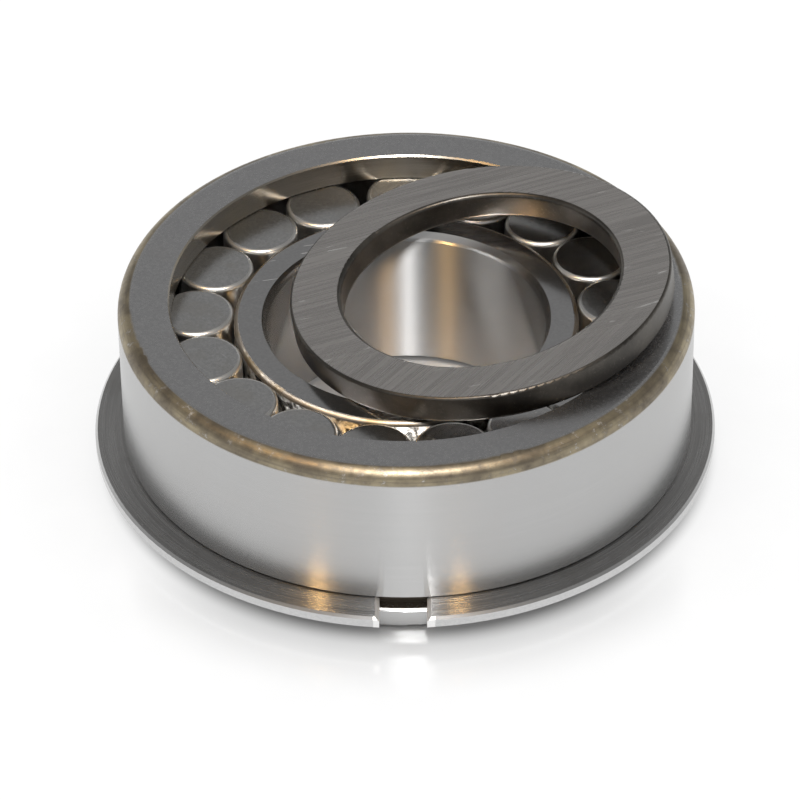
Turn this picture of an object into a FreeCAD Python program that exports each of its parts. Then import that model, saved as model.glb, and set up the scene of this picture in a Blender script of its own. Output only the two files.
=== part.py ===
import FreeCAD, Part
import math
import os

os.makedirs("parts", exist_ok=True)

# Full-complement cylindrical roller bearing with a loose rib ring and a snap ring.
# Millimetres. Z is the bearing axis, z = 0 is the bottom face of both rings.

# main sizes
OUTER_D = 72.0
BORE_D = 35.0
WIDTH = 24.0

# rollers
ROLLER_COUNT = 17
ROLLER_D = 9.6
ROLLER_RIM = 0.65
PITCH_R = 26.4
ROLLER_STEP_DEG = 21.05
FIRST_ROLLER_DEG = 113.6
RUNNING_GAP = 0.02

# ribs: each one is as thick as the loose rib ring
RIB_T = 3.7
END_GAP = 0.05
OUTER_RIB_BORE_R = 29.5
OUTER_RIB_EDGE = 0.2
TOP_CORNER = 1.9
BOTTOM_CORNER = 0.5

# inner ring
INNER_RIM = 0.65
BORE_CHAMFER = 0.6
BORE_LEAD_IN = 1.25
RIB_OUTER_R = 23.95
RIB_EDGE = 0.4

# groove in the outer ring and the open snap ring in it
GROOVE_LOW = 2.8
GROOVE_W = 1.9
GROOVE_R = 34.4
GROOVE_EDGE = 0.12
LAND_EDGE = 0.3
SNAP_T = 1.7
SNAP_INNER_R = 35.0
SNAP_OUTER_R = 39.3
SNAP_LIFT = 0.03
SNAP_SHIFT_X = -0.3
SNAP_SHIFT_Y = -0.4
SNAP_EDGE = 0.3
SNAP_END_EDGE = 0.5
SNAP_GAP = 5.8
SNAP_GAP_DEG = 269.3

# the loose rib ring lies off-centre: its right side on the outer ring's top face,
# its left side on the rim of the inner ring's bore
LOOSE_X = 9.7
LOOSE_TIP_DEG = 7.4
LOOSE_DROP = 1.545

AXIS = FreeCAD.Vector(0, 0, 1)
ORIGIN = FreeCAD.Vector(0, 0, 0)
OUTER_R = OUTER_D / 2
BORE_R = BORE_D / 2
INNER_RACE_R = PITCH_R - ROLLER_D / 2 - RUNNING_GAP
OUTER_RACE_R = PITCH_R + ROLLER_D / 2 + RUNNING_GAP
INNER_TOP = WIDTH - RIB_T
ROLLER_LOW = RIB_T + END_GAP
ROLLER_HIGH = WIDTH - RIB_T - END_GAP


def revolve(points):
    """Turn a closed profile of (radius, height) points round the Z axis."""
    corners = [FreeCAD.Vector(r, 0, z) for r, z in points]
    wire = Part.makePolygon(corners + [corners[0]])
    return Part.Face(wire).revolve(ORIGIN, AXIS, 360)


def circles(shape, radius, height):
    """The full circular edges of a given radius at a given height."""
    found = []
    for edge in shape.Edges:
        if not isinstance(edge.Curve, Part.Circle):
            continue
        if abs(edge.Curve.Radius - radius) < 1e-4 and abs(edge.Curve.Center.z - height) < 1e-4:
            found.append(edge)
    return found


def export(shape, node):
    """Write one closed solid as one STEP file."""
    solid = shape.Solids[0]
    solid.exportStep("parts/" + node + ".step")


# ---- outer ring: two ribs, raceway between them, groove near the bottom
groove_high = GROOVE_LOW + GROOVE_W
outer_ring = revolve([
    (OUTER_RIB_BORE_R, 0),
    (OUTER_R, 0),
    (OUTER_R, GROOVE_LOW),
    (GROOVE_R, GROOVE_LOW),
    (GROOVE_R, groove_high),
    (OUTER_R, groove_high),
    (OUTER_R, WIDTH),
    (OUTER_RIB_BORE_R, WIDTH),
    (OUTER_RIB_BORE_R, WIDTH - RIB_T),
    (OUTER_RACE_R, WIDTH - RIB_T),
    (OUTER_RACE_R, RIB_T),
    (OUTER_RIB_BORE_R, RIB_T),
])
outer_ring = outer_ring.makeFillet(TOP_CORNER, circles(outer_ring, OUTER_R, WIDTH))
outer_ring = outer_ring.makeFillet(BOTTOM_CORNER, circles(outer_ring, OUTER_R, 0))
for height in (0, RIB_T, WIDTH - RIB_T, WIDTH):
    rims = circles(outer_ring, OUTER_RIB_BORE_R, height)
    outer_ring = outer_ring.makeChamfer(OUTER_RIB_EDGE, rims)
outer_ring = outer_ring.makeChamfer(LAND_EDGE, circles(outer_ring, OUTER_R, GROOVE_LOW))
outer_ring = outer_ring.makeChamfer(GROOVE_EDGE, circles(outer_ring, OUTER_R, groove_high))
export(outer_ring, "outer_ring")

# ---- inner ring: one rib at the bottom, open end at the top with a steep lead-in to the bore
inner_ring = revolve([
    (BORE_R, 0),
    (RIB_OUTER_R, 0),
    (RIB_OUTER_R, RIB_T),
    (INNER_RACE_R, RIB_T),
    (INNER_RACE_R, INNER_TOP),
    (BORE_R + BORE_CHAMFER, INNER_TOP),
    (BORE_R, INNER_TOP - BORE_LEAD_IN),
])
inner_ring = inner_ring.makeFillet(INNER_RIM, circles(inner_ring, INNER_RACE_R, INNER_TOP))
for height in (0, RIB_T):
    inner_ring = inner_ring.makeFillet(RIB_EDGE, circles(inner_ring, RIB_OUTER_R, height))
inner_ring = inner_ring.makeChamfer(BORE_CHAMFER, circles(inner_ring, BORE_R, 0))
export(inner_ring, "inner_ring")

# ---- rollers: plain cylinders with rounded rims, shoulder to shoulder
for i in range(ROLLER_COUNT):
    angle = math.radians(FIRST_ROLLER_DEG + ROLLER_STEP_DEG * i)
    foot = FreeCAD.Vector(PITCH_R * math.cos(angle), PITCH_R * math.sin(angle), ROLLER_LOW)
    roller = Part.makeCylinder(ROLLER_D / 2, ROLLER_HIGH - ROLLER_LOW, foot, AXIS)
    for height in (ROLLER_LOW, ROLLER_HIGH):
        roller = roller.makeFillet(ROLLER_RIM, circles(roller, ROLLER_D / 2, height))
    export(roller, "roller_%02d" % (i + 1))

# ---- loose rib ring: flat ring with rounded outer edges and a chamfered bore
rib_ring = revolve([
    (BORE_R, 0),
    (RIB_OUTER_R, 0),
    (RIB_OUTER_R, RIB_T),
    (BORE_R, RIB_T),
])
for height in (0, RIB_T):
    rib_ring = rib_ring.makeFillet(RIB_EDGE, circles(rib_ring, RIB_OUTER_R, height))
    rib_ring = rib_ring.makeFillet(BORE_CHAMFER, circles(rib_ring, BORE_R, height))
rib_ring.rotate(ORIGIN, FreeCAD.Vector(0, 1, 0), -LOOSE_TIP_DEG)
rib_ring.translate(FreeCAD.Vector(LOOSE_X, 0, WIDTH - LOOSE_DROP))
export(rib_ring, "rib_ring")

# ---- snap ring: open spring ring, its two ends cut square with bevelled upper edges;
# it is a little wider than the groove's floor and hangs towards the gap's side
snap_low = GROOVE_LOW + SNAP_LIFT
snap_high = snap_low + SNAP_T
snap_ring = revolve([
    (SNAP_INNER_R, snap_low),
    (SNAP_OUTER_R - SNAP_EDGE, snap_low),
    (SNAP_OUTER_R, snap_low + SNAP_EDGE),
    (SNAP_OUTER_R, snap_high - SNAP_EDGE),
    (SNAP_OUTER_R - SNAP_EDGE, snap_high),
    (SNAP_INNER_R, snap_high),
])
half = SNAP_GAP / 2
slot = Part.makePolygon([
    FreeCAD.Vector(GROOVE_R - 3, -half, snap_low - 1),
    FreeCAD.Vector(GROOVE_R - 3, half, snap_low - 1),
    FreeCAD.Vector(GROOVE_R - 3, half, snap_high - SNAP_END_EDGE),
    FreeCAD.Vector(GROOVE_R - 3, half + 1 + SNAP_END_EDGE, snap_high + 1),
    FreeCAD.Vector(GROOVE_R - 3, -half - 1 - SNAP_END_EDGE, snap_high + 1),
    FreeCAD.Vector(GROOVE_R - 3, -half, snap_high - SNAP_END_EDGE),
    FreeCAD.Vector(GROOVE_R - 3, -half, snap_low - 1),
])
cutter = Part.Face(slot).extrude(FreeCAD.Vector(12, 0, 0))
cutter.rotate(ORIGIN, AXIS, SNAP_GAP_DEG)
snap_ring = snap_ring.cut(cutter)
snap_ring.translate(FreeCAD.Vector(SNAP_SHIFT_X, SNAP_SHIFT_Y, 0))
export(snap_ring, "snap_ring")
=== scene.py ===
import math

import bpy
from mathutils import Matrix, Quaternion, Vector


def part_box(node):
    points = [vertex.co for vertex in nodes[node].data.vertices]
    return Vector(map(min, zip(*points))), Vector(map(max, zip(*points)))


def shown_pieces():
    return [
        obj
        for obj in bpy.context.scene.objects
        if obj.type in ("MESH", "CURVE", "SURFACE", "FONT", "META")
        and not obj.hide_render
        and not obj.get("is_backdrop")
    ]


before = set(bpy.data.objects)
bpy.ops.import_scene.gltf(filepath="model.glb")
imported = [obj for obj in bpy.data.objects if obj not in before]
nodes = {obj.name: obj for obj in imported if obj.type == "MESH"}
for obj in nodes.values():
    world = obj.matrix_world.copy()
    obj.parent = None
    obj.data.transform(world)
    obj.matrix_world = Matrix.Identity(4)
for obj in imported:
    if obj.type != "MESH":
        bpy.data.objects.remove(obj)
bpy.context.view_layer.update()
scene = bpy.context.scene

MM = 0.001
bearing_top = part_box("outer_ring")[1].z
roller_names = sorted(n for n in nodes if n.startswith("roller_"))


# ------------------------------------------------------------------ camera
# A long lens in front of the bearing, looking down at it; angles in degrees, lengths in
# metres, lens and sensor in millimetres.
CAMERA_DISTANCE = 0.600
CAMERA_ELEVATION = 36.838
CAMERA_PAN, CAMERA_TILT, CAMERA_ROLL = 0.085, -1.280, 0.625
CAMERA_LENS = 216.7
CAMERA_SENSOR = 36.0
CAMERA_CLIP = (0.01, 50.0)


def turned(vector, axis, degrees):
    return Quaternion(axis, math.radians(degrees)) @ vector


target = Vector((0, 0, bearing_top))
elevation = math.radians(CAMERA_ELEVATION)
eye = target + CAMERA_DISTANCE * Vector((0, -math.cos(elevation), math.sin(elevation)))
ahead = (target - eye).normalized()
right = Vector((1, 0, 0))
up = right.cross(ahead)
ahead, right = turned(ahead, up, CAMERA_PAN), turned(right, up, CAMERA_PAN)
ahead, up = turned(ahead, right, CAMERA_TILT), turned(up, right, CAMERA_TILT)
right, up = turned(right, ahead, CAMERA_ROLL), turned(up, ahead, CAMERA_ROLL)

camera_data = bpy.data.cameras.new("camera")
camera_data.lens = CAMERA_LENS
camera_data.sensor_width = CAMERA_SENSOR
camera_data.clip_start, camera_data.clip_end = CAMERA_CLIP
camera = bpy.data.objects.new("camera", camera_data)
scene.collection.objects.link(camera)
facing = Matrix((right, up, -ahead)).transposed().to_4x4()
camera.matrix_world = Matrix.Translation(eye) @ facing
scene.camera = camera
scene.view_settings.view_transform = "Standard"
scene.view_settings.look = "None"


# ------------------------------------------------------------------ node graphs
UP = (0.0, 0.0, 1.0)
FLAT = (0.965, 0.995)  # how far a normal lies along the axis, where a flat face begins

# Where noise values mostly lie, and where grain and grinding lines turn from dark to light.
NOISE_SPAN = (0.3, 0.7)
GRAIN_SPAN = (0.32, 0.70)
LINE_SPAN = (0.35, 0.68)
SPECKLE_SCALE = 2600
MARK_SCALE = (120, 3200, 120)
MARK_TURN = -28
GROUND_RELIEF = 0.6  # of the speckle and of the marks alike
RING_LINES = (45, 45, 5200)  # stretched round the axis, fine along it
SCRATCH_STRETCH = 0.028
SCRATCH_SHIFT = (3.1, 7.7, 0.0)
SCRATCH_EDGE = 0.035
SCRATCH_GATE_SCALE = (260, 260, 1.0)
SCRATCH_GATE_SHIFT = (1.7, 4.2, 0.0)
SCRATCH_GATE = (0.54, 0.60)
RADIAL_SMEAR_TURN = 0.25  # a quarter turn: the gloss spreads along the axis


class Graph:
    """A material's node tree, with short calls for the nodes that the materials here use.

    Places are in metres in each object's own coordinates, so a texture's scale counts its
    cells to the metre, and a pattern turns and moves with its piece.
    """

    def __init__(self, name):
        self.material = bpy.data.materials.new(name)
        self.material.use_nodes = True
        self.tree = self.material.node_tree
        self.shader = self.tree.nodes["Principled BSDF"]
        where = self.add("ShaderNodeTexCoord")
        self.place = where.outputs["Object"]
        self.normal = where.outputs["Normal"]
        split = self.add("ShaderNodeSeparateXYZ", Vector=self.place)
        self.x, self.y, self.z = split.outputs
        squares = self.sum(self.product(self.x, self.x), self.product(self.y, self.y))
        self.r = self.math("SQRT", squares)

    def add(self, kind, settings=None, **inputs):
        node = self.tree.nodes.new(kind)
        for key, value in (settings or {}).items():
            setattr(node, key, value)
        for key, value in inputs.items():
            self.put(node.inputs[key], value)
        return node

    def put(self, socket, value):
        if isinstance(value, bpy.types.NodeSocket):
            self.tree.links.new(value, socket)
        elif socket.type == "RGBA":
            socket.default_value = (*value, 1.0)
        else:
            socket.default_value = value

    def math(self, operation, first, second=0.0):
        node = self.add("ShaderNodeMath", {"operation": operation})
        self.put(node.inputs[0], first)
        self.put(node.inputs[1], second)
        return node.outputs[0]

    def sum(self, *values):
        total = values[0]
        for value in values[1:]:
            total = self.math("ADD", total, value)
        return total

    def product(self, *values):
        total = values[0]
        for value in values[1:]:
            total = self.math("MULTIPLY", total, value)
        return total

    def flip(self, value):
        return self.math("SUBTRACT", 1.0, value)

    def rise(self, value, low, high, out_low=0.0, out_high=1.0):
        """A smooth step from out_low to out_high as the value goes from low to high."""
        node = self.add("ShaderNodeMapRange", {"interpolation_type": "SMOOTHSTEP"})
        self.put(node.inputs["Value"], value)
        node.inputs["From Min"].default_value = low
        node.inputs["From Max"].default_value = high
        node.inputs["To Min"].default_value = out_low
        node.inputs["To Max"].default_value = out_high
        return node.outputs[0]

    def fall(self, value, low, high):
        return self.flip(self.rise(value, low, high))

    def mixed(self, data_type, sockets, output, values):
        node = self.add("ShaderNodeMix", {"data_type": data_type})
        for index, value in zip(sockets, values):
            self.put(node.inputs[index], value)
        return node.outputs[output]

    def mix(self, factor, first, second):
        """Two colours mixed by a mask."""
        return self.mixed("RGBA", (0, 6, 7), 2, (factor, first, second))

    def layer(self, under, pattern, span, amount, tint):
        """A tint over a colour where a pattern is high; the amount is its full strength."""
        return self.mix(self.product(self.rise(pattern, *span), amount), under, tint)

    def blend(self, factor, first, second):
        """Two numbers mixed by a mask."""
        return self.mixed("FLOAT", (0, 2, 3), 0, (factor, first, second))

    def scaled(self, scale, turn=0.0, shift=(0.0, 0.0, 0.0)):
        """The place turned about the axis, in degrees, and only then scaled and shifted."""
        start = self.place
        if turn:
            spun = self.add("ShaderNodeMapping", {"vector_type": "POINT"}, Vector=start)
            spun.inputs["Rotation"].default_value = (0.0, 0.0, math.radians(turn))
            start = spun.outputs[0]
        node = self.add("ShaderNodeMapping", {"vector_type": "POINT"}, Vector=start)
        node.inputs["Scale"].default_value = scale
        node.inputs["Location"].default_value = shift
        return node.outputs[0]

    def noise(self, vector, detail=3.0, roughness=0.55, distortion=0.0):
        node = self.add(
            "ShaderNodeTexNoise", Vector=vector, Scale=1.0,
            Detail=detail, Roughness=roughness, Distortion=distortion,
        )
        return node.outputs[0]

    def grain(self, count, detail=4.0, roughness=0.7, shift=(0.0, 0.0, 0.0)):
        """Noise of the same scale in all directions."""
        return self.noise(self.scaled((count, count, count), shift=shift), detail, roughness)

    def speckle(self):
        """The fine grain of a ground face."""
        return self.grain(SPECKLE_SCALE)

    def ring_lines(self):
        """Grinding lines that run round the axis, with no seam."""
        return self.noise(self.scaled(RING_LINES), detail=4.0, roughness=0.7)

    def scratches(self, count, threshold, turn):
        """Short hairlines: streaks of stretched noise, where a broad noise lets them show."""
        stretch = (count * SCRATCH_STRETCH, count, 1.0)
        fine = self.noise(self.scaled(stretch, -turn, SCRATCH_SHIFT), detail=1.0)
        broad = self.scaled(SCRATCH_GATE_SCALE, shift=SCRATCH_GATE_SHIFT)
        gate = self.noise(broad, detail=2.0)
        streak = self.rise(fine, threshold, threshold + SCRATCH_EDGE)
        return self.product(streak, self.rise(gate, *SCRATCH_GATE))

    def side(self, axis=UP, limits=FLAT):
        """1 where a surface does not face along the axis, 0 on the flat faces."""
        node = self.add("ShaderNodeVectorMath", {"operation": "DOT_PRODUCT"})
        self.put(node.inputs[0], self.normal)
        node.inputs[1].default_value = axis
        along = self.math("ABSOLUTE", node.outputs["Value"])
        return self.fall(along, *limits)

    def bump(self, height, strength, distance):
        return self.add(
            "ShaderNodeBump", Height=height, Strength=strength, Distance=distance
        ).outputs[0]

    def finish(self, colour, roughness, normal, smear=None):
        """Bare metal; smear is a mask for gloss that spreads along the axis."""
        self.shader.inputs["Metallic"].default_value = 1.0
        self.put(self.shader.inputs["Base Color"], colour)
        self.put(self.shader.inputs["Roughness"], roughness)
        self.put(self.shader.inputs["Normal"], normal)
        if smear is not None:
            tangent = self.add("ShaderNodeTangent", {"direction_type": "RADIAL", "axis": "Z"})
            self.put(self.shader.inputs["Tangent"], tangent.outputs[0])
            self.put(self.shader.inputs["Anisotropic"], smear)
            self.shader.inputs["Anisotropic Rotation"].default_value = RADIAL_SMEAR_TURN
        return self.material


def dress(node_name, material):
    for place in nodes[node_name].material_slots:
        place.material = material


# ------------------------------------------------------------------ outer ring
# Each pair is the start and end of a ramp, in radius or in height, between two surfaces.
# A layer is the span of its pattern, its full strength, and its tint.
OUTSIDE_R = (33.9 * MM, 34.4 * MM)
CORNER_Z = (21.85 * MM, 22.15 * MM)
BAND_R = (35.7 * MM, 35.95 * MM)
BAND_TOP_Z = (21.85 * MM, 22.2 * MM)
GROOVE_LOW_Z = (2.75 * MM, 2.85 * MM)
GROOVE_HIGH_Z = (4.65 * MM, 4.75 * MM)
GROOVE_R = (35.7 * MM, 35.9 * MM)
WALL_R = (30.0 * MM, 30.4 * MM)
OUTER_RACE_IN_R = (30.9 * MM, 31.1 * MM)
OUTER_RACE_OUT_R = (31.5 * MM, 31.7 * MM)

OUTER_FACE = ((0.475, 0.475, 0.483), (0.545, 0.545, 0.551))
OUTER_FACE_STAIN = ((0.55, 0.75), 0.15, (0.53, 0.51, 0.49))
OUTER_GROUND = ((0.474, 0.474, 0.472), (0.490, 0.490, 0.487))
OUTER_GROUND_STAIN = ((0.45, 0.72), 0.2, (0.475, 0.465, 0.455))
OXIDE_SPAN = (0.36, 0.62)
OXIDE_TINTS = ((0.190, 0.163, 0.122), (0.36, 0.31, 0.215))
OXIDE_DARK = (0.125, 0.108, 0.088)
OXIDE_FLECKS = ((0.50, 0.66), 0.75, OXIDE_DARK)
OXIDE_TURNED = ((0.42, 0.70), 0.45, OXIDE_DARK)
OXIDE_WORN_FLECK, OXIDE_WORN_CLOUD = (0.56, 0.66), (0.40, 0.58)
OXIDE_WORN, OXIDE_WORN_AMOUNT = (0.62, 0.60, 0.55), 0.85
WALL_TINTS = ((0.235, 0.212, 0.180), (0.33, 0.305, 0.265))
WALL_STAIN = ((0.5, 0.7), 0.4, (0.33, 0.28, 0.19))
OUTER_EDGE = (0.50, 0.49, 0.47)
OUTER_RACE = (0.66, 0.66, 0.665)
# Painted shade: the snap-ring groove is coloured dark, as it lies in shadow.
GROOVE_PAINTED_SHADE = (0.17, 0.145, 0.115)

OUTER_FACE_ROUGH = (0.23, 0.28)
OUTER_EDGE_ROUGH = 0.34
OUTER_GROUND_ROUGH = (0.222, 0.234)
OXIDE_ROUGH_SPAN = (0.35, 0.7)
OXIDE_ROUGH = (0.38, 0.52)
WALL_ROUGH = 0.27
OUTER_RACE_ROUGH = 0.16
OXIDE_PITS, OXIDE_TURNING = 5.5, 2.5  # relief against that of the flat face
OUTER_BUMP = (0.22, 0.012 * MM)


def ground_height(g, speckle):
    """Relief of a flat ground face, fine speckle with faint long marks; and the marks."""
    marks = g.noise(g.scaled(MARK_SCALE, MARK_TURN), detail=3.0, roughness=0.6)
    return g.sum(g.product(speckle, GROUND_RELIEF), g.product(marks, GROUND_RELIEF)), marks


def outer_ring_steel():
    g = Graph("outer_ring_steel")
    speckle = g.speckle()
    height, _ = ground_height(g, speckle)
    lines = g.ring_lines()
    cloud = g.grain(160, roughness=0.6)
    fleck = g.grain(900, detail=5.0, roughness=0.75)
    turning = g.noise(g.scaled((70, 70, 3600)), detail=3.0, roughness=0.7)

    side = g.side()
    outside = g.rise(g.r, *OUTSIDE_R)
    corner = g.product(side, outside, g.rise(g.z, *CORNER_Z))
    band = g.product(side, g.rise(g.r, *BAND_R), g.fall(g.z, *BAND_TOP_Z))
    in_groove = g.product(g.rise(g.z, *GROOVE_LOW_Z), g.fall(g.z, *GROOVE_HIGH_Z))
    groove = g.product(in_groove, g.fall(g.r, *GROOVE_R))
    wall = g.product(side, g.fall(g.r, *WALL_R))
    in_race = g.product(g.rise(g.r, *OUTER_RACE_IN_R), g.fall(g.r, *OUTER_RACE_OUT_R))
    race = g.product(side, in_race)

    face = g.mix(g.rise(speckle, *GRAIN_SPAN), *OUTER_FACE)
    face = g.layer(face, cloud, *OUTER_FACE_STAIN)
    ground = g.mix(g.rise(lines, *LINE_SPAN), *OUTER_GROUND)
    ground = g.layer(ground, cloud, *OUTER_GROUND_STAIN)

    oxide = g.mix(g.rise(cloud, *OXIDE_SPAN), *OXIDE_TINTS)
    oxide = g.layer(oxide, fleck, *OXIDE_FLECKS)
    worn = g.product(g.rise(fleck, *OXIDE_WORN_FLECK), g.rise(cloud, *OXIDE_WORN_CLOUD))
    oxide = g.mix(g.product(worn, OXIDE_WORN_AMOUNT), oxide, OXIDE_WORN)
    oxide = g.layer(oxide, turning, *OXIDE_TURNED)

    wall_tint = g.mix(g.rise(lines, *NOISE_SPAN), *WALL_TINTS)
    wall_tint = g.layer(wall_tint, cloud, *WALL_STAIN)

    colour = g.mix(side, face, OUTER_EDGE)
    face_rough = g.rise(speckle, *NOISE_SPAN, *OUTER_FACE_ROUGH)
    rough = g.blend(side, face_rough, OUTER_EDGE_ROUGH)
    for mask, tint, gloss in (
        (band, ground, g.rise(lines, *NOISE_SPAN, *OUTER_GROUND_ROUGH)),
        (corner, oxide, g.rise(fleck, *OXIDE_ROUGH_SPAN, *OXIDE_ROUGH)),
        (wall, wall_tint, WALL_ROUGH),
        (race, OUTER_RACE, OUTER_RACE_ROUGH),
    ):
        colour = g.mix(mask, colour, tint)
        rough = g.blend(mask, rough, gloss)
    # Painted shade: the groove under the snap ring is coloured dark.
    colour = g.mix(groove, colour, GROOVE_PAINTED_SHADE)

    height = g.product(height, g.flip(g.math("MAXIMUM", band, wall)))
    pitted = g.sum(g.product(fleck, OXIDE_PITS), g.product(turning, OXIDE_TURNING))
    height = g.blend(corner, height, pitted)
    return g.finish(colour, rough, g.bump(height, *OUTER_BUMP), smear=band)


# ------------------------------------------------------------------ inner ring
BORE_R = (17.62 * MM, 17.75 * MM)
LIP_R = (20.8 * MM, 21.0 * MM)
LIP_Z = (19.6 * MM, 19.8 * MM)
INNER_RACE_R = (21.3 * MM, 21.5 * MM)

INNER_FACE = ((0.455, 0.455, 0.46), (0.505, 0.505, 0.51))
INNER_FACE_STAIN = ((0.5, 0.7), 0.4, (0.46, 0.455, 0.45))
INNER_NICK = (0.92, 0.92, 0.92)
INNER_GROUND = ((0.395, 0.395, 0.394), (0.405, 0.405, 0.404))
LIP_SPAN = (0.42, 0.62)
LIP_TINTS = ((0.098, 0.092, 0.083), (0.066, 0.053, 0.035))
GREASE_SPAN = (0.40, 0.58)
GREASE_TINTS = ((0.07, 0.068, 0.064), (0.42, 0.415, 0.40))

INNER_FACE_ROUGH = (0.13, 0.17)
INNER_EDGE_ROUGH = 0.20
BORE_ROUGH = (0.238, 0.242)
GREASE_ROUGH_SPAN = (0.35, 0.65)
GREASE_ROUGH = (0.26, 0.46)
LIP_ROUGH = 0.46
INNER_NICK_ROUGH = 0.25
INNER_MARKS, INNER_NICKS, GREASE_HEIGHT = 0.25, -0.5, 14.0
INNER_BUMP = (0.16, 0.012 * MM)


def inner_ring_steel():
    g = Graph("inner_ring_steel")
    speckle = g.speckle()
    _, marks = ground_height(g, speckle)
    lines = g.ring_lines()
    cloud = g.grain(190, roughness=0.6, shift=(4, 2, 7))
    grease_place = g.scaled((700, 700, 500), shift=(2, 5, 1))
    grease = g.noise(grease_place, detail=4.0, roughness=0.6, distortion=1.0)
    nicks = g.scratches(2300, 0.675, 12)

    side = g.side()
    bore = g.product(side, g.fall(g.r, *BORE_R))
    lip = g.product(side, g.rise(g.r, *LIP_R), g.rise(g.z, *LIP_Z))
    race = g.product(side, g.rise(g.r, *INNER_RACE_R), g.flip(lip))

    face = g.mix(g.rise(speckle, *GRAIN_SPAN), *INNER_FACE)
    face = g.layer(face, marks, *INNER_FACE_STAIN)
    face = g.mix(nicks, face, INNER_NICK)
    ground = g.mix(g.rise(lines, *LINE_SPAN), *INNER_GROUND)

    colour = g.mix(side, face, ground)
    colour = g.mix(race, colour, g.mix(g.rise(grease, *GREASE_SPAN), *GREASE_TINTS))
    colour = g.mix(lip, colour, g.mix(g.rise(cloud, *LIP_SPAN), *LIP_TINTS))

    face_rough = g.rise(speckle, *NOISE_SPAN, *INNER_FACE_ROUGH)
    rough = g.blend(side, face_rough, INNER_EDGE_ROUGH)
    rough = g.blend(bore, rough, g.rise(lines, *NOISE_SPAN, *BORE_ROUGH))
    rough = g.blend(race, rough, g.rise(grease, *GREASE_ROUGH_SPAN, *GREASE_ROUGH))
    rough = g.blend(lip, rough, LIP_ROUGH)
    rough = g.blend(nicks, rough, INNER_NICK_ROUGH)

    relief = g.sum(g.product(marks, INNER_MARKS), g.product(nicks, INNER_NICKS))
    height = g.product(g.flip(side), relief)
    height = g.blend(race, height, g.product(grease, GREASE_HEIGHT))
    smear = g.math("MAXIMUM", bore, race)
    return g.finish(colour, rough, g.bump(height, *INNER_BUMP), smear=smear)


# ------------------------------------------------------------------ loose rib ring
RIB_TIP = 7.4  # degrees that the loose ring leans to the left
RIB_FRONT_Y = (-17 * MM, -7 * MM)
RIB_LINES_TURN, RIB_LINES_TURN_FRONT = -14, -50

RIB_FACE = ((0.475, 0.455, 0.440), (0.575, 0.552, 0.535))
RIB_FACE_SPAN = (0.34, 0.66)
RIB_FACE_LIGHT = ((0.42, 0.66), 0.35, (0.62, 0.598, 0.58))
RIB_FACE_DARK = ((0.52, 0.68), 0.22, (0.40, 0.385, 0.375))
RIB_NICK, RIB_NICK_AMOUNT = (0.95, 0.94, 0.92), 0.9
RIB_RIM_SPAN = (0.36, 0.64)
# Painted shade: the loose ring's sides and bore are coloured far darker than its ground face.
RIB_RIM_PAINTED_SHADE = ((0.064, 0.060, 0.055), (0.105, 0.098, 0.088))
RIB_RIM_FLECK = ((0.55, 0.70), 0.25, (0.24, 0.22, 0.19))

RIB_FACE_ROUGH = (0.24, 0.32)
RIB_RIM_ROUGH = (0.32, 0.40)
RIB_STREAKS, RIB_SPECKLE, RIB_NICKS = 0.8, 0.4, -1.0
RIB_BUMP = (0.26, 0.014 * MM)


def rib_ring_steel():
    g = Graph("rib_ring_steel")
    front = g.fall(g.y, *RIB_FRONT_Y)

    def lines(fine, coarse, shift):
        """Straight grinding lines, which lie at a steeper angle on the front of the ring."""
        levels = [
            g.noise(g.scaled((coarse, fine, 40), turn, shift), detail=4.0, roughness=0.68)
            for turn in (RIB_LINES_TURN, RIB_LINES_TURN_FRONT)
        ]
        return g.blend(front, *levels)

    speckle = g.speckle()
    streak = lines(1900, 42, (0, 0, 0))
    broad = lines(430, 26, (5, 1, 3))
    cross = g.noise(g.scaled((60, 1700, 60), -27, (2, 8, 1)), detail=3.0, roughness=0.6)
    cloud = g.grain(150, roughness=0.6, shift=(9, 3, 5))
    nicks = g.math(
        "MAXIMUM", g.scratches(1900, 0.668, 18), g.scratches(2300, 0.684, 7)
    )
    tip = math.radians(RIB_TIP)
    side = g.side((-math.sin(tip), 0.0, math.cos(tip)))

    face = g.mix(g.rise(streak, *RIB_FACE_SPAN), *RIB_FACE)
    face = g.layer(face, broad, *RIB_FACE_LIGHT)
    face = g.layer(face, cross, *RIB_FACE_DARK)
    face = g.mix(g.product(nicks, RIB_NICK_AMOUNT), face, RIB_NICK)
    # Painted shade: dark colour on every side of the loose ring, with lighter flecks over it.
    rim_painted_shade = g.mix(g.rise(cloud, *RIB_RIM_SPAN), *RIB_RIM_PAINTED_SHADE)
    rim_painted_shade = g.layer(rim_painted_shade, speckle, *RIB_RIM_FLECK)

    colour = g.mix(side, face, rim_painted_shade)
    face_rough = g.rise(streak, *NOISE_SPAN, *RIB_FACE_ROUGH)
    rim_rough = g.rise(cloud, *NOISE_SPAN, *RIB_RIM_ROUGH)
    relief = g.sum(
        g.product(streak, RIB_STREAKS),
        g.product(speckle, RIB_SPECKLE),
        g.product(nicks, RIB_NICKS),
    )
    height = g.product(g.flip(side), relief)
    return g.finish(colour, g.blend(side, face_rough, rim_rough), g.bump(height, *RIB_BUMP))


# ------------------------------------------------------------------ snap ring
SNAP_FLAT = (0.95, 0.99)
SNAP_RING_LINES = 5200.0
SNAP_LINE_STRETCH = 55.0
SNAP_GAP_X = -0.65 * MM
SNAP_END_X = (3.65 * MM, 3.85 * MM)  # from the middle of the gap
SNAP_END_Y = (-30 * MM, -28 * MM)

SNAP_FACE = ((0.40, 0.395, 0.39), (0.53, 0.525, 0.52))
SNAP_FACE_SPAN = (0.32, 0.68)
SNAP_FACE_STAIN = ((0.5, 0.7), 0.5, (0.36, 0.35, 0.335))
SNAP_EDGE = ((0.53, 0.53, 0.53), (0.58, 0.58, 0.58))
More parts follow.
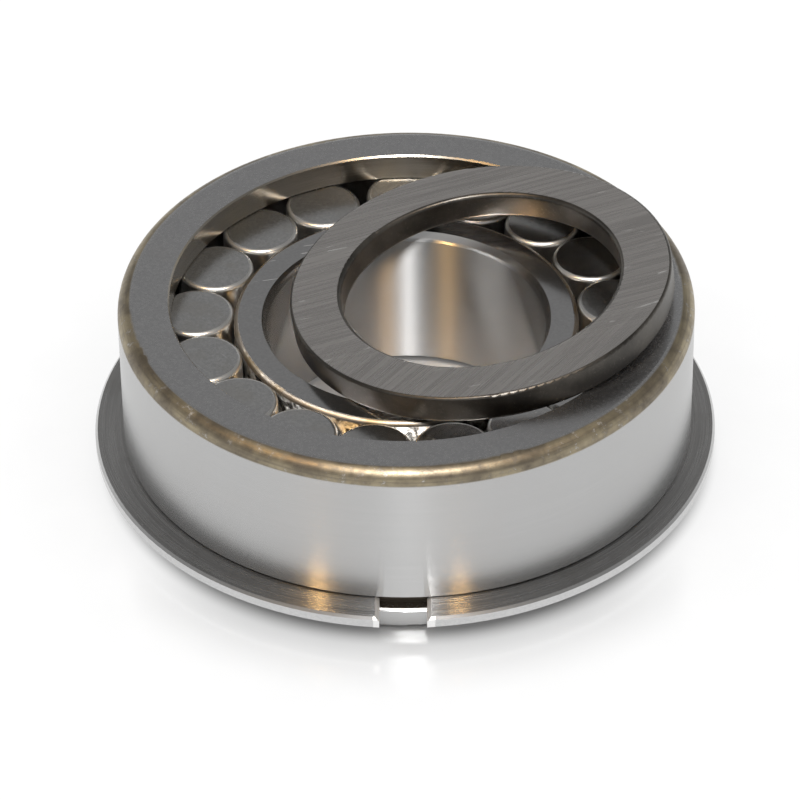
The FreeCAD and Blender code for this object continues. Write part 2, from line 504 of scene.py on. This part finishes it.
# Painted highlight: the ring's cut ends are coloured near white, as if they shine.
SNAP_END_PAINTED_HIGHLIGHT = (0.86, 0.86, 0.86)

SNAP_FACE_ROUGH = (0.22, 0.28)
SNAP_EDGE_ROUGH = 0.22
SNAP_END_ROUGH = 0.55
SNAP_LINES, SNAP_SPECKLE = 0.9, 0.4
SNAP_BUMP = (0.12, 0.010 * MM)


def snap_ring_steel():
    g = Graph("snap_ring_steel")
    speckle = g.grain(2400)
    rings_place = g.add(
        "ShaderNodeCombineXYZ",
        X=g.product(g.r, SNAP_RING_LINES),
        Y=g.product(g.x, SNAP_LINE_STRETCH),
        Z=g.product(g.y, SNAP_LINE_STRETCH),
    ).outputs[0]
    rings = g.noise(rings_place, detail=3.0, roughness=0.65)
    cloud = g.grain(120, roughness=0.6, shift=(1, 6, 2))

    side = g.side(limits=SNAP_FLAT)
    from_gap = g.math("ABSOLUTE", g.sum(g.x, -SNAP_GAP_X))
    painted_highlight_ends = g.product(side, g.fall(from_gap, *SNAP_END_X), g.fall(g.y, *SNAP_END_Y))

    face = g.mix(g.rise(rings, *SNAP_FACE_SPAN), *SNAP_FACE)
    face = g.layer(face, cloud, *SNAP_FACE_STAIN)
    colour = g.mix(side, face, g.mix(g.rise(speckle, *NOISE_SPAN), *SNAP_EDGE))
    # Painted highlight: near-white colour on the cut ends of the ring.
    colour = g.mix(painted_highlight_ends, colour, SNAP_END_PAINTED_HIGHLIGHT)
    face_rough = g.rise(rings, *NOISE_SPAN, *SNAP_FACE_ROUGH)
    rough = g.blend(side, face_rough, SNAP_EDGE_ROUGH)
    rough = g.blend(painted_highlight_ends, rough, SNAP_END_ROUGH)
    height = g.sum(g.product(rings, SNAP_LINES), g.product(speckle, SNAP_SPECKLE))
    return g.finish(colour, rough, g.bump(height, *SNAP_BUMP), smear=g.flip(side))


# ------------------------------------------------------------------ rollers
ROLLER_FACE = ((0.49, 0.49, 0.49), (0.60, 0.60, 0.60))
ROLLER_FACE_STAIN = ((0.42, 0.66), 0.5, (0.50, 0.485, 0.46))
ROLLER_NICK, ROLLER_NICK_AMOUNT = (0.80, 0.80, 0.80), 0.35
ROLLER_SIDE = (0.62, 0.615, 0.60)

ROLLER_FACE_ROUGH = (0.19, 0.25)
ROLLER_SIDE_ROUGH = (0.28, 0.34)
ROLLER_LINES = 0.3
ROLLER_BUMP = (0.16, 0.010 * MM)


def roller_steel():
    g = Graph("roller_steel")
    speckle = g.speckle()
    height, _ = ground_height(g, speckle)
    cloud = g.noise(g.scaled((230, 230, 60), shift=(3, 3, 1)), detail=3.0, roughness=0.6)
    lines = g.noise(g.scaled((90, 90, 4800)), detail=3.0, roughness=0.7)
    nicks = g.scratches(2500, 0.69, 130)
    side = g.side()

    face = g.mix(g.rise(speckle, *GRAIN_SPAN), *ROLLER_FACE)
    face = g.layer(face, cloud, *ROLLER_FACE_STAIN)
    face = g.mix(g.product(nicks, ROLLER_NICK_AMOUNT), face, ROLLER_NICK)
    colour = g.mix(side, face, ROLLER_SIDE)
    face_rough = g.rise(speckle, *NOISE_SPAN, *ROLLER_FACE_ROUGH)
    rough = g.blend(side, face_rough, g.rise(lines, *NOISE_SPAN, *ROLLER_SIDE_ROUGH))
    height = g.blend(side, height, g.product(lines, ROLLER_LINES))
    return g.finish(colour, rough, g.bump(height, *ROLLER_BUMP))


dress("outer_ring", outer_ring_steel())
dress("inner_ring", inner_ring_steel())
dress("rib_ring", rib_ring_steel())
dress("snap_ring", snap_ring_steel())
roller_finish = roller_steel()
for name in roller_names:
    dress(name, roller_finish)


# ------------------------------------------------------------------ floor
# White paper that also glows a little, which keeps it evenly pale. Near the front of the
# bearing it mirrors a little too, and close under the bearing it glows less, as in shadow.
FLOOR_HALF = 6.0
FLOOR_DROP = 0.02 * MM
FLOOR_CORNERS = ((-1, -1), (1, -1), (1, 1), (-1, 1))

PANEL_GLOW = 1.5
FLOOR_WHITE = 1.09
FLOOR_LIT = 0.39
PAPER = ((0.225, 0.225, 0.225), (0.235, 0.235, 0.235))
MIRROR_STRENGTH = 0.20
MIRROR_R = (37 * MM, 50 * MM)
MIRROR_FRONT = (20 * MM, 36 * MM)
MIRROR_ROUGHNESS = 0.16
IN_BORE_R = (18.0 * MM, 20.0 * MM)
IN_BORE_GLOW = 0.12
UNDER_RING_R = (36.0 * MM, 39.8 * MM)


def floor_paint():
    g = Graph("floor_paint")
    g.tree.nodes.remove(g.shader)
    mirror_part = g.rise(g.r, *MIRROR_R, MIRROR_STRENGTH, 0.0)
    mirror_part = g.product(mirror_part, g.rise(g.product(g.y, -1.0), *MIRROR_FRONT))

    # The glow makes up what the mirrored panels and the lit paper leave of the floor's white.
    lift = g.math("MULTIPLY_ADD", mirror_part, -PANEL_GLOW)
    lift.node.inputs[2].default_value = FLOOR_WHITE
    lift = g.math("DIVIDE", lift, g.flip(mirror_part))
    lift = g.math("SUBTRACT", lift, FLOOR_LIT)
    lift = g.product(lift, g.rise(g.r, *IN_BORE_R, IN_BORE_GLOW, 1.0))
    lift = g.product(lift, g.sum(g.rise(g.r, *UNDER_RING_R), g.fall(g.r, *IN_BORE_R)))

    paper = g.noise(g.scaled((90, 90, 90)))
    white = g.mix(g.rise(paper, *NOISE_SPAN), *PAPER)
    both = g.add("ShaderNodeAddShader")
    g.put(both.inputs[0], g.add("ShaderNodeBsdfDiffuse", Color=white).outputs[0])
    g.put(both.inputs[1], g.add("ShaderNodeEmission", Strength=lift).outputs[0])
    mirror = g.add("ShaderNodeBsdfGlossy", Color=(1.0, 1.0, 1.0), Roughness=MIRROR_ROUGHNESS)
    last = g.add("ShaderNodeMixShader")
    g.put(last.inputs[0], mirror_part)
    g.put(last.inputs[1], both.outputs[0])
    g.put(last.inputs[2], mirror.outputs[0])
    output = next(n for n in g.tree.nodes if n.type == "OUTPUT_MATERIAL")
    g.put(output.inputs["Surface"], last.outputs[0])
    return g.material


floor_mesh = bpy.data.meshes.new("floor")
corners = [(x * FLOOR_HALF, y * FLOOR_HALF, 0) for x, y in FLOOR_CORNERS]
floor_mesh.from_pydata(corners, [], [(0, 1, 2, 3)])
floor = bpy.data.objects.new("floor", floor_mesh)
floor.location = (0, 0, -FLOOR_DROP)
scene.collection.objects.link(floor)
floor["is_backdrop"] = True
floor_mesh.materials.append(floor_paint())


# ------------------------------------------------------------------ lights
LAMP_REACH = 0.9
WHITE, GOLD, ORANGE = (1.0, 1.0, 1.0), (1.0, 0.60, 0.22), (1.0, 0.62, 0.28)
PANELS = 8
PANEL_REACH = 1.3
PANEL_WIDTH = 2 * PANEL_REACH * math.tan(math.pi / PANELS)
PANEL_TALL = 2.6
PANEL_LIFT = 2 * MM

# name, azimuth, elevation (degrees), width, height (metres), radiance, colour
INNER_LAMPS = (
    ("key", -2.5, 57, 0.026, 0.20, 2300.0, WHITE),
    ("warm_left", -43, 57, 0.007, 0.20, 3400.0, GOLD),
    ("warm_right", 19, 57, 0.008, 0.20, 2500.0, ORANGE),
    ("side_left", -98, 60, 0.014, 0.20, 1300.0, WHITE),
)
OUTER_LAMPS = (
    ("key", 1, 62, 0.11, 0.09, 220.0, WHITE),
    ("warm_left", -48, 61, 0.026, 0.08, 230.0, GOLD),
    ("warm_right", 26, 61, 0.034, 0.08, 110.0, GOLD),
)


def receivers(name, things):
    """A set of objects that a light can be kept to."""
    group = bpy.data.collections.new(name)
    for thing in things:
        group.objects.link(thing)
    return group


def area_light(name, group, centre, reach, azimuth, elevation, size, radiance, colour=WHITE):
    """An area light that faces a centre, kept to a group of objects.

    The azimuth is 0 on the camera's side and positive to its right.
    """
    a, e = math.radians(azimuth), math.radians(elevation)
    back = Vector((math.sin(a) * math.cos(e), -math.cos(a) * math.cos(e), math.sin(e)))
    data = bpy.data.lights.new(name, "AREA")
    data.shape = "RECTANGLE"
    data.size, data.size_y = size
    data.energy = radiance * math.pi * size[0] * size[1]
    data.color = colour
    light = bpy.data.objects.new(name, data)
    light.location = centre + back * reach
    light.rotation_mode = "QUATERNION"
    light.rotation_quaternion = (-back).to_track_quat("-Z", "Y")
    scene.collection.objects.link(light)
    light.light_linking.receiver_collection = group


inner = nodes["inner_ring"]
others = [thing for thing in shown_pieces() if thing is not inner]
middle = Vector((0, 0, bearing_top / 2))
for prefix, group, rows in (
    ("inner_", receivers("light_on_inner_ring", [inner]), INNER_LAMPS),
    ("outer_", receivers("light_on_the_rest", others), OUTER_LAMPS),
):
    for name, azimuth, elevation, width, height, radiance, colour in rows:
        area_light(
            prefix + name, group, middle, LAMP_REACH,
            azimuth, elevation, (width, height), radiance, colour,
        )

# A ring of panels lights only the floor.
only_floor = receivers("light_on_floor", [floor])
panel_middle = Vector((0, 0, PANEL_TALL / 2 + PANEL_LIFT))
for index in range(PANELS):
    area_light(
        f"panel_{index}", only_floor, panel_middle, PANEL_REACH,
        index * 360 / PANELS, 0.0, (PANEL_WIDTH, PANEL_TALL), PANEL_GLOW,
    )

# The studio around it: brightness by the sine of the elevation.
SKY = ((0.0, 0.95), (0.16, 0.84), (0.34, 0.44), (0.52, 0.30), (0.78, 0.26), (1.0, 0.36))
SKY_BLUE = 0.995  # the blue part against the red and green
world = bpy.data.worlds.new("studio")
world.use_nodes = True
scene.world = world
tree = world.node_tree
direction = tree.nodes.new("ShaderNodeTexCoord")
split = tree.nodes.new("ShaderNodeSeparateXYZ")
tree.links.new(direction.outputs["Generated"], split.inputs[0])
sky = tree.nodes.new("ShaderNodeValToRGB")
tree.links.new(split.outputs["Z"], sky.inputs[0])
ramp = sky.color_ramp
ramp.interpolation = "EASE"
ramp.elements.remove(ramp.elements[-1])
for index, (place, value) in enumerate(SKY):
    stop = ramp.elements[0] if index == 0 else ramp.elements.new(place)
    stop.position = place
    stop.color = (value, value, value * SKY_BLUE, 1.0)
tree.links.new(sky.outputs["Color"], tree.nodes["Background"].inputs["Color"])
